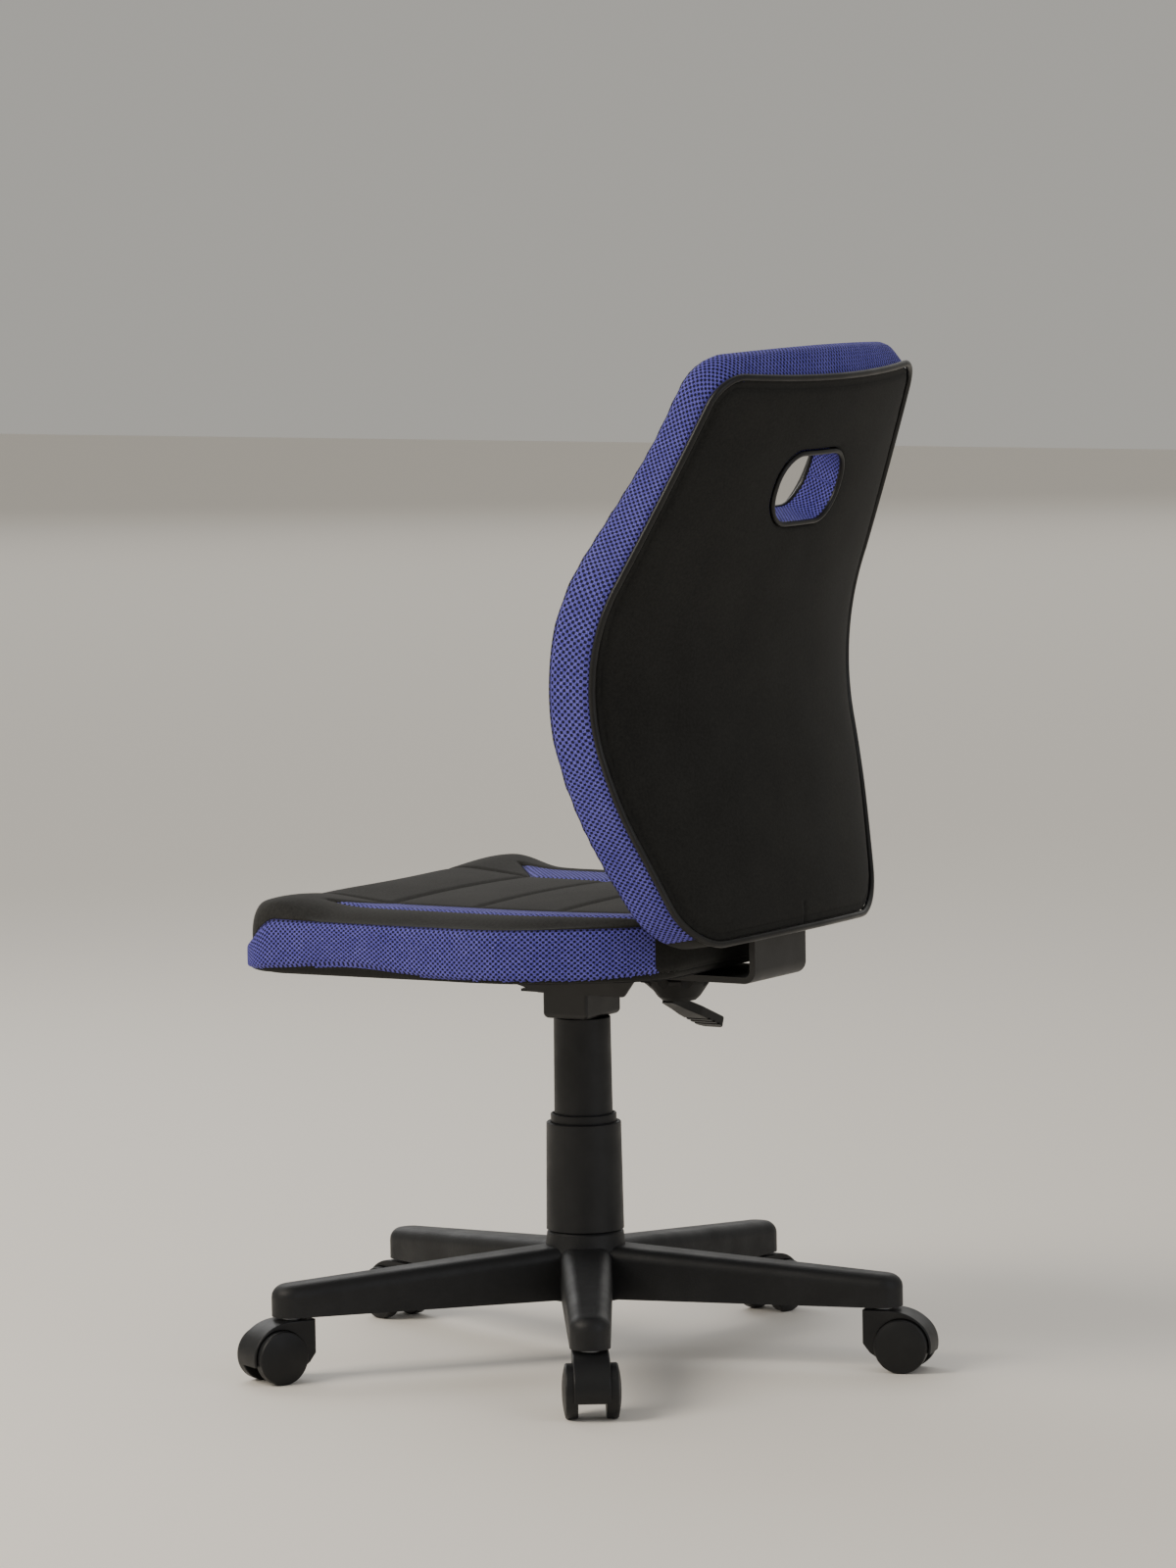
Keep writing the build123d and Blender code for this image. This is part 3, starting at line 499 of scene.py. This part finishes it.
seat = {"corners": [(-231, -239, 40), (231, -239, 40), (224, 60, 150), (183, 173, 66), (-183, 173, 66),
                    (-224, 60, 150)],
        "bottom": 379, "top": 441, "rim": 20, "seam": 429, "voxel": 5,
        "panelEdge": 121, "insertEdge": 170, "insertStart": -146, "channels": (-130, -41, 48, 137),
        "blueEnds": 160, "crest": 438, "crown": 438, "valley": 435.5, "puff": 8, "hem": 16,
        "bolsterFall": 10, "frontLift": 4, "noseDrop": 25, "noseTop": 21, "noseRun": (-192, -236),
        "insertSlope": 0.85, "squareOn": 0.76, "insertEnd": 150, "underside": (9, 3),
        "grooveDepth": 3.0, "grooveWidth": 3.4,
        "narrowFrom": 10, "narrowOver": 163, "narrowBy": 0.25,
        "frontWave": 10, "waveAt": -118, "waveRun": 62, "rearWave": 6, "edgeWave": 1.5, "waveFade": 12}

seatCushion = drawOutline("seat_top_cover", seat["corners"], seat["bottom"])
seatRing = traceOutline(seatCushion)
raiseOutline(seatCushion, seat["top"] - seat["bottom"], seat["rim"])
remesh(seatCushion, seat["voxel"])


def insertFront(x):                        # the blue inserts start on a slant
    middle = (seat["panelEdge"] + seat["insertEdge"]) / 2
    return seat["insertStart"] - (np.abs(x) - middle) * seat["insertSlope"]


def seatSeams(p):                          # distance to the nearest seam, in mm
    a, y, z = np.abs(p[:, 0]), p[:, 1], p[:, 2]
    edgeGap = nearestOnRing(p[:, :2], seatRing)[1]
    onSide = edgeGap < cloth["side"]
    side = np.where(onSide, np.abs(z - seat["seam"]), farOff)
    hem = np.where(onSide | (z < seat["bottom"] + 4),
                   np.hypot(np.maximum(edgeGap - 1, 0), z - seat["bottom"]), farOff)
    onTop = z > seat["seam"] + 4
    start = insertFront(a)
    panel = np.abs(a - seat["panelEdge"])
    insert = np.where(y > start, np.abs(a - seat["insertEdge"]), farOff)
    beside = (a > seat["panelEdge"]) & (a < seat["insertEdge"])
    slant = np.where(beside, np.abs(y - start) * seat["squareOn"], farOff)
    rows = np.min([np.abs(y - row) for row in seat["channels"]], axis=0)
    channel = np.where(a < seat["panelEdge"], rows, farOff)
    top = np.min([panel, insert, slant, channel], axis=0)
    return np.minimum(np.minimum(side, hem), np.where(onTop, top, farOff))


def shapeSeat(p):                          # flat block to the real seat, which narrows to the back
    x, y, z = p[:, 0], p[:, 1], p[:, 2].copy()
    narrow = 1 - seat["narrowBy"] * np.clip((y - seat["narrowFrom"]) / seat["narrowOver"], 0, 1.2) ** 1.5
    a = np.abs(x)
    level = (z - seat["bottom"]) / (seat["seam"] - seat["bottom"])
    above = smoothStep(seat["seam"] - 2, seat["top"], z)
    # top: two bolsters beside a shallow middle, and a plain front
    middle = np.clip(a / seat["panelEdge"], 0, 1)
    low = seat["crown"] - (seat["crown"] - seat["valley"]) * middle ** 2
    bolstered = low + (seat["crest"] - low) * smoothStep(seat["panelEdge"] - 4, seat["insertEdge"] + 8, a)
    plain = seat["crest"] + 4 - 2 * (1 - middle ** 2)
    dished = plain + (bolstered - plain) * smoothStep(-215, -110, y)
    outer = np.clip((a - seat["insertEdge"]) / 59, 0, 1)
    dished = dished - seat["bolsterFall"] * outer * smoothStep(-200, -140, y)
    dished = dished + seat["frontLift"] * smoothStep(100, 190, a) * smoothStep(-130, -190, y)
    z += above * (dished - seat["top"])
    # the front rolls down, and the lower edge of the band waves
    drop = seat["noseDrop"]
    nose = smoothStep(*seat["noseRun"], y)
    z -= nose * np.where(level < 1, drop * np.clip(level, 0, 1), drop - seat["noseTop"] * above)
    wave = seat["frontWave"] * np.exp(-((y - seat["waveAt"]) / seat["waveRun"]) ** 2)
    wave = wave + seat["rearWave"] * smoothStep(110, 170, y) + seat["edgeWave"]
    edgeGap = nearestOnRing(p[:, :2], seatRing)[1]
    z += wave * np.clip(1 - level, 0, 1) * smoothStep(seat["waveFade"], 0, edgeGap)
    return np.column_stack([x * narrow, y, z]) * mm


flat = readPoints(seatCushion) / mm
seams = seatSeams(flat)
free = smoothStep(*cloth["free"], seams)
underside = smoothStep(*(seat["bottom"] + rise for rise in seat["underside"]), flat[:, 2])
swell(seatCushion, np.maximum(1 - free, underside), seat["puff"] * (1 - underside) + 0.1)
refine(seatCushion)
flat = readPoints(seatCushion) / mm
seams = seatSeams(flat)
normals = readNormals(seatCushion)
groove = seat["grooveDepth"] * np.exp(-(seams / seat["grooveWidth"]) ** 2)
writePoints(seatCushion, (flat - normals * groove[:, None]) * mm)
# seam distances, which the fabrics turn into painted shade along the seams
storeField(seatCushion, "seamGap", seams)
print("seat swollen:", len(flat), "points")

seatBand = duplicate(seatCushion, "seat_mesh_band")
for piece in (seatCushion, seatBand):
    cutAway(piece, (0, 0, seat["seam"] * mm), (0, 0, 1), keepFront=piece is seatCushion)
under = splitOff(seatBand, "seat_underside",
                 lambda c: nearestOnRing(c[:, :2] / mm, seatRing)[1] > seat["hem"])
bpy.data.objects.remove(under)             # the board and its lining are there
seatHem = splitOff(seatBand, "seat_hem", lambda c: (c[:, 2] / mm < seat["bottom"] + 2)
                   & (nearestOnRing(c[:, :2] / mm, seatRing)[1] > 2))
scoreFaces(seatBand, (0, seat["blueEnds"] * mm, 0), (0, 1, 0))
seatRearBand = splitOff(seatBand, "seat_rear_band", lambda c: c[:, 1] / mm > seat["blueEnds"])

seatInserts = []
for side, name in ((1, "seat_insert_left"), (-1, "seat_insert_right")):
    for edge in ("panelEdge", "insertEdge"):
        scoreFaces(seatCushion, (side * seat[edge] * mm, 0, 0), (1, 0, 0))
    corner = insertFront(seat["panelEdge"]) * mm
    scoreFaces(seatCushion, (side * seat["panelEdge"] * mm, corner, 0), (side * seat["insertSlope"], 1, 0))
    seatInserts.append(splitOff(
        seatCushion, name,
        lambda c: (side * c[:, 0] / mm > seat["panelEdge"]) & (side * c[:, 0] / mm < seat["insertEdge"])
        & (c[:, 1] / mm > insertFront(c[:, 0] / mm)) & (c[:, 1] / mm < seat["insertEnd"])))

seatPieces = [(seatCushion, seatFabric, "black_fabric", ["seat_cushion"]),
              (seatBand, blueMesh, "blue_mesh", ["seat_side_band"]),
              (seatRearBand, backFabric, "black_fabric", []), (seatHem, backFabric, "black_fabric", [])]
seatPieces += [(insert, blueMesh, "blue_mesh", []) for insert in seatInserts]
for piece, material, slot, nodes in seatPieces:
    flat = readPoints(piece) / mm
    if piece in (seatBand, seatRearBand):
        along, gap, lap = nearestOnRing(flat[:, :2], seatRing)
        layPattern(piece, along, flat[:, 2], lap)
    else:
        layPattern(piece, flat[:, 0], flat[:, 1])
    writePoints(piece, shapeSeat(flat))
    finishCloth(piece, cloth["thickness"] * mm)
    paint(piece, material)
    place(piece, "seat_unit", slot, *nodes)
print("seat pieces made")


# backrest, worked flat and then shaped: x to the sitter's left, y up the slab, z forwards, in mm

back = {"low": -252.1, "wide": -43.4, "high": 270.4, "voxel": 5, "thickness": 41, "rearSeam": 2.5,
        "frontSeam": 38, "bendHeight": 665.8, "bendY": 195.6, "bendRadius": 280, "leanLow": -0.187,
        "leanHigh": 0.35, "wrapAxis": -409, "holeUp": 163.4, "holeWide": 116, "holeHigh": 67, "holeRound": 31,
        "rim": 5, "lumbar": 0.34, "topRise": 8, "topCrown": 11, "pinch": 0.26, "pinchReach": 9,
        "stitchIn": 10, "panelEdge": 118, "panelTop": 110, "channels": (-205, -125, -45, 35, 112),
        "puff": 8, "rearPuff": 2.2, "hemCut": 9, "holeWall": 12,
        "grooveDepth": 2.4, "grooveWidth": 3.0, "stitchDepth": 1.3, "stitchWidth": 2.2}

backCorners = [(-170.5, back["low"], 64), (170.5, back["low"], 64), (252, back["wide"], 343),
               (177.7, back["high"], 36), (-177.7, back["high"], 36), (-252, back["wide"], 343)]
turnLow, turnHigh = math.atan(back["leanLow"]), math.atan(back["leanHigh"])
bendTangent = back["bendRadius"] * math.tan((turnHigh - turnLow) / 2)


def shapeBack(p):                          # flat slab to the bent and wrapped one, thicker at the lumbar
    x, up, depth = p[:, 0], p[:, 1], p[:, 2]
    lumbar = smoothStep(210, 30, up) * (0.55 + 0.45 * smoothStep(-250, -160, up))
    drawnIn = back["pinch"] * np.exp(-(nearestOnRing(p[:, :2], holeRing)[1] / back["pinchReach"]) ** 2)
    depth = depth * np.where(depth > 0, (1 + back["lumbar"] * lumbar) * (1 - drawnIn), 1)
    rise = back["topRise"] + back["topCrown"] * np.clip(1 - (x / 170) ** 2, 0, 1)
    up = up + rise * smoothStep(190, back["high"], up) * smoothStep(2, 26, depth)
    run = np.clip((up + bendTangent) / (2 * bendTangent), 0, 1)
    turn = turnLow + (turnHigh - turnLow) * run
    startY = back["bendY"] - bendTangent * math.sin(turnLow)
    startZ = back["bendHeight"] - bendTangent * math.cos(turnLow)
    y = startY + back["bendRadius"] * (math.cos(turnLow) - np.cos(turn))
    z = startZ + back["bendRadius"] * (np.sin(turn) - math.sin(turnLow))
    straight = np.minimum(up + bendTangent, 0) + np.maximum(up - bendTangent, 0)
    y += straight * np.sin(turn)
    z += straight * np.cos(turn)
    radius = y - back["wrapAxis"]
    sag = radius - np.sqrt(radius ** 2 - x ** 2)
    forward = depth + sag * np.cos(turn)
    return np.column_stack([x, y - forward * np.cos(turn), z + forward * np.sin(turn)]) * mm


def holeCorners(grow=0):
    wide, high = back["holeWide"] / 2 + grow, back["holeHigh"] / 2 + grow
    return [(sx * wide, back["holeUp"] + sy * high, back["holeRound"] + grow)
            for sx, sy in ((-1, -1), (1, -1), (1, 1), (-1, 1))]


backCushion = drawOutline("back_front_pad", backCorners, 0)
backRing = traceOutline(backCushion)
raiseOutline(backCushion, back["thickness"], back["rim"])
cutter = drawOutline("hole_cutter", holeCorners(), -20)
holeRing = traceOutline(cutter)
raiseOutline(cutter, 100)
cutHole(backCushion, cutter)
remesh(backCushion, back["voxel"])


def backSeams(p):                          # distances to seam, to stitching, to outline and to hole, in mm
    a, up, depth = np.abs(p[:, 0]), p[:, 1], p[:, 2]
    edgeGap = nearestOnRing(p[:, :2], backRing)[1]
    holeGap = nearestOnRing(p[:, :2], holeRing)[1]
    onSide = edgeGap < cloth["side"]
    rear = np.where(onSide, np.abs(depth - back["rearSeam"]), farOff)
    front = np.where(onSide, np.abs(depth - back["frontSeam"]), farOff)
    rim = np.where((depth < 5) | (depth > back["thickness"] - 6), holeGap, farOff)
    rearFace = (depth < 6) & (edgeGap > 3)
    stitch = np.where(rearFace, np.abs(edgeGap - back["stitchIn"]), farOff)
    hem = np.where(rearFace & (a < 3) & (up < back["low"] + 24), a, farOff)
    frontFace = depth > back["frontSeam"] + 2
    panel = np.where(frontFace & (up < back["panelTop"]), np.abs(a - back["panelEdge"]), farOff)
    rows = np.min([np.abs(up - row) for row in back["channels"]], axis=0)
    channel = np.where(frontFace & (a < back["panelEdge"]), rows, farOff)
    return (np.min([rear, front, rim, panel, channel], axis=0), np.minimum(stitch, hem), edgeGap, holeGap)


flat = readPoints(backCushion) / mm
seams, stitches, edgeGap, holeGap = backSeams(flat)
inHole = (holeGap < 8) & (flat[:, 2] > 3) & (flat[:, 2] < back["thickness"] - 3)
rearward = smoothStep(9, 3, flat[:, 2])
held = np.maximum(1 - smoothStep(*cloth["free"], seams), inHole * 1.0)
cap = back["puff"] * (1 - rearward) + back["rearPuff"] * rearward
swell(backCushion, held, np.where(inHole, 0.1, cap))
refine(backCushion)
flat = readPoints(backCushion) / mm
seams, stitches, edgeGap, holeGap = backSeams(flat)
groove = back["grooveDepth"] * np.exp(-(seams / back["grooveWidth"]) ** 2)
groove = groove + back["stitchDepth"] * np.exp(-(stitches / back["stitchWidth"]) ** 2)
writePoints(backCushion, (flat - readNormals(backCushion) * groove[:, None]) * mm)
# seam and stitch distances for painted shade: dark along the seams, a little less along the stitch lines
storeField(backCushion, "seamGap", np.minimum(seams, stitches + 0.9))
print("back swollen:", len(flat), "points")

backBand = duplicate(backCushion, "back_mesh_band")
rearCover = duplicate(backCushion, "back_rear_panel")
cutAway(backCushion, (0, 0, back["frontSeam"] * mm), (0, 0, 1))
cutAway(rearCover, (0, 0, back["rearSeam"] * mm), (0, 0, 1), keepFront=False)
cutAway(backBand, (0, 0, back["frontSeam"] * mm), (0, 0, 1), keepFront=False)
cutAway(backBand, (0, 0, back["rearSeam"] * mm), (0, 0, 1))
lowCut = back["low"] + back["hemCut"]
scoreFaces(backBand, (0, lowCut * mm, 0), (0, 1, 0))
tunnel = splitOff(backBand, "hole_wall",
                  lambda c: nearestOnRing(c[:, :2] / mm, holeRing)[1] < back["holeWall"])
bpy.data.objects.remove(tunnel)            # the lining takes its place
lowerBand = splitOff(backBand, "back_lower_band", lambda c: c[:, 1] / mm < lowCut)

backPieces = [(backCushion, seatFabric, "black_fabric", ["back_cushion"]),
              (backBand, blueMesh, "blue_mesh", ["back_side_band"]),
              (lowerBand, backFabric, "black_fabric", []),
              (rearCover, backFabric, "black_fabric", ["back_rear_cover"])]
for piece, material, slot, nodes in backPieces:
    flat = readPoints(piece) / mm
    if piece in (backBand, lowerBand):
        along, _, lap = nearestOnRing(flat[:, :2], backRing)
        layPattern(piece, along, flat[:, 2], lap)
    else:
        layPattern(piece, flat[:, 0], flat[:, 1])
    writePoints(piece, shapeBack(flat))
    finishCloth(piece, cloth["thickness"] * mm)
    paint(piece, material)
    place(piece, "back_unit", slot, *nodes)


# welt cord and edge bindings, and the mesh lining that is drawn forwards through the handle hole

cords = {"weltRadius": 3.2, "weltDepth": 1.2, "bindingRadius": 2.4, "bindingOut": 0.6,
         "bindingDepths": {"hole_binding_rear": -0.4, "hole_binding_front": back["thickness"] + 1.5}}
lining = {"inside": 0.8, "depth": -1, "length": back["thickness"] + 3, "steps": 12, "thickness": 1.2}


def cordRound(name, corners, depth, radius):
    cord = drawOutline(name, corners, depth)
    ring = traceOutline(cord, 3)
    bpy.data.objects.remove(cord)
    bpy.ops.mesh.primitive_circle_add(vertices=len(ring))
    cord = bpy.context.object
    cord.name = name
    writePoints(cord, shapeBack(np.column_stack([ring, np.full(len(ring), depth)])))
    bpy.ops.object.convert(target="CURVE")
    cord = bpy.context.object
    cord.data.bevel_depth = radius * mm
    cord.data.bevel_resolution = 3
    bpy.ops.object.convert(target="MESH")
    cord = bpy.context.object
    bpy.ops.object.shade_smooth()
    # far from any seam, so no painted seam shade
    storeField(cord, "seamGap", np.full(len(cord.data.vertices), 9.0))
    paint(cord, weltFabric)
    return cord


piping = cordRound("back_welt", backCorners, cords["weltDepth"], cords["weltRadius"])
place(piping, "back_unit", "piping", "back_piping")
for name, depth in cords["bindingDepths"].items():
    binding = cordRound(name, holeCorners(cords["bindingOut"]), depth, cords["bindingRadius"])
    place(binding, "back_unit", "piping")

sleeve = drawOutline("handle_lining", holeCorners(-lining["inside"]), lining["depth"])
pickOnly(sleeve)
bpy.ops.object.mode_set(mode="EDIT")
bpy.ops.mesh.select_all(action="SELECT")
bpy.ops.mesh.delete(type="ONLY_FACE")
bpy.ops.mesh.select_all(action="SELECT")
bpy.ops.mesh.subdivide(number_cuts=4)
for step in range(lining["steps"]):
    bpy.ops.mesh.extrude_region_move(
        TRANSFORM_OT_translate={"value": (0, 0, lining["length"] / lining["steps"] * mm)})
bpy.ops.mesh.select_all(action="SELECT")
bpy.ops.mesh.normals_make_consistent(inside=True)
bpy.ops.object.mode_set(mode="OBJECT")
flat = readPoints(sleeve) / mm
along, _, lap = nearestOnRing(flat[:, :2], holeRing)
layPattern(sleeve, along, flat[:, 2], lap)
# painted shade at both ends of the lining, where it runs under the bindings
storeField(sleeve, "seamGap", np.minimum(flat[:, 2] + 1.5, back["thickness"] + 2.5 - flat[:, 2]))
writePoints(sleeve, shapeBack(flat))
finishCloth(sleeve, lining["thickness"] * mm)
paint(sleeve, blueMesh)
place(sleeve, "back_unit", "blue_mesh", "handle_sleeve")
print("back pieces made")


# stage, light and camera

# metres, degrees and, for the focal length on a 36 mm sensor, mm
studio = {"distance": 6.6, "height": 1.1828, "yaw": 0.0784, "pitch": 5.5626, "roll": 0.9118,
          "chairTurn": 31.0, "focal": 163.65, "sensor": 36,
          "floor": "#f0ebe3", "floorSize": 30, "room": "#d8d5ce", "roomLight": 0.62}

bpy.ops.mesh.primitive_plane_add(size=studio["floorSize"], location=(0, 0, 0))
floor = bpy.context.object
floor.name = "floor"
concrete, tree, shader = startMaterial("pale studio floor", studio["floor"], 0.7)
paint(floor, concrete)

turn = math.radians(studio["chairTurn"])   # the chair's axes seen from the camera's stand
leftAxis = Vector((-math.sin(turn), -math.cos(turn), 0))
backAxis = Vector((math.cos(turn), -math.sin(turn), 0))


def toChair(v):                            # from the camera's stand: x right, y away from it, z up
    return Vector((v.dot(leftAxis), v.dot(backAxis), v.z))


yaw, pitch, roll = (math.radians(studio[key]) for key in ("yaw", "pitch", "roll"))
ahead = Vector((math.sin(yaw) * math.cos(pitch), math.cos(yaw) * math.cos(pitch), -math.sin(pitch)))
levelRight = Vector((math.cos(yaw), -math.sin(yaw), 0))
upright = levelRight.cross(ahead)
rightward = levelRight * math.cos(roll) - upright * math.sin(roll)
upward = levelRight * math.sin(roll) + upright * math.cos(roll)
cameraData = bpy.data.cameras.new("camera")
cameraData.lens = studio["focal"]
cameraData.sensor_width = studio["sensor"]
camera = bpy.data.objects.new("camera", cameraData)
bpy.context.collection.objects.link(camera)
axes = Matrix([toChair(rightward), toChair(upward), toChair(-ahead)]).transposed()
stand = toChair(Vector((0, -studio["distance"], studio["height"])))
camera.matrix_world = Matrix.Translation(stand) @ axes.to_4x4()
bpy.context.scene.camera = camera


def addLamp(name, sideways, towards, height, size, energy, colour):   # metres and watts
    spot = toChair(Vector((sideways, -towards, height)))
    bpy.ops.object.light_add(type="AREA", location=spot)
    lamp = bpy.context.object
    lamp.name = name
    lamp.data.size = size
    lamp.data.energy = energy
    lamp.data.color = hexColour(colour)[:3]
    lamp.rotation_euler = (Vector((0, 0, 0.5)) - spot).to_track_quat("-Z", "Y").to_euler()


addLamp("window_light", -2.6, 1.2, 2.6, 1.8, 95, "#fff6e8")
addLamp("fill_light", 2.6, 2.2, 1.6, 2.5, 22, "#eef2ff")
addLamp("rim_light", -1.2, -2.4, 2.2, 1.5, 18, "#ffffff")
addLamp("ceiling_light", 0, -9, 7, 14, 260, "#ffffff")
world = bpy.data.worlds.new("room")
world.use_nodes = True
world.node_tree.nodes["Background"].inputs["Color"].default_value = hexColour(studio["room"])
world.node_tree.nodes["Background"].inputs["Strength"].default_value = studio["roomLight"]
bpy.context.scene.world = world

print("scene ready")
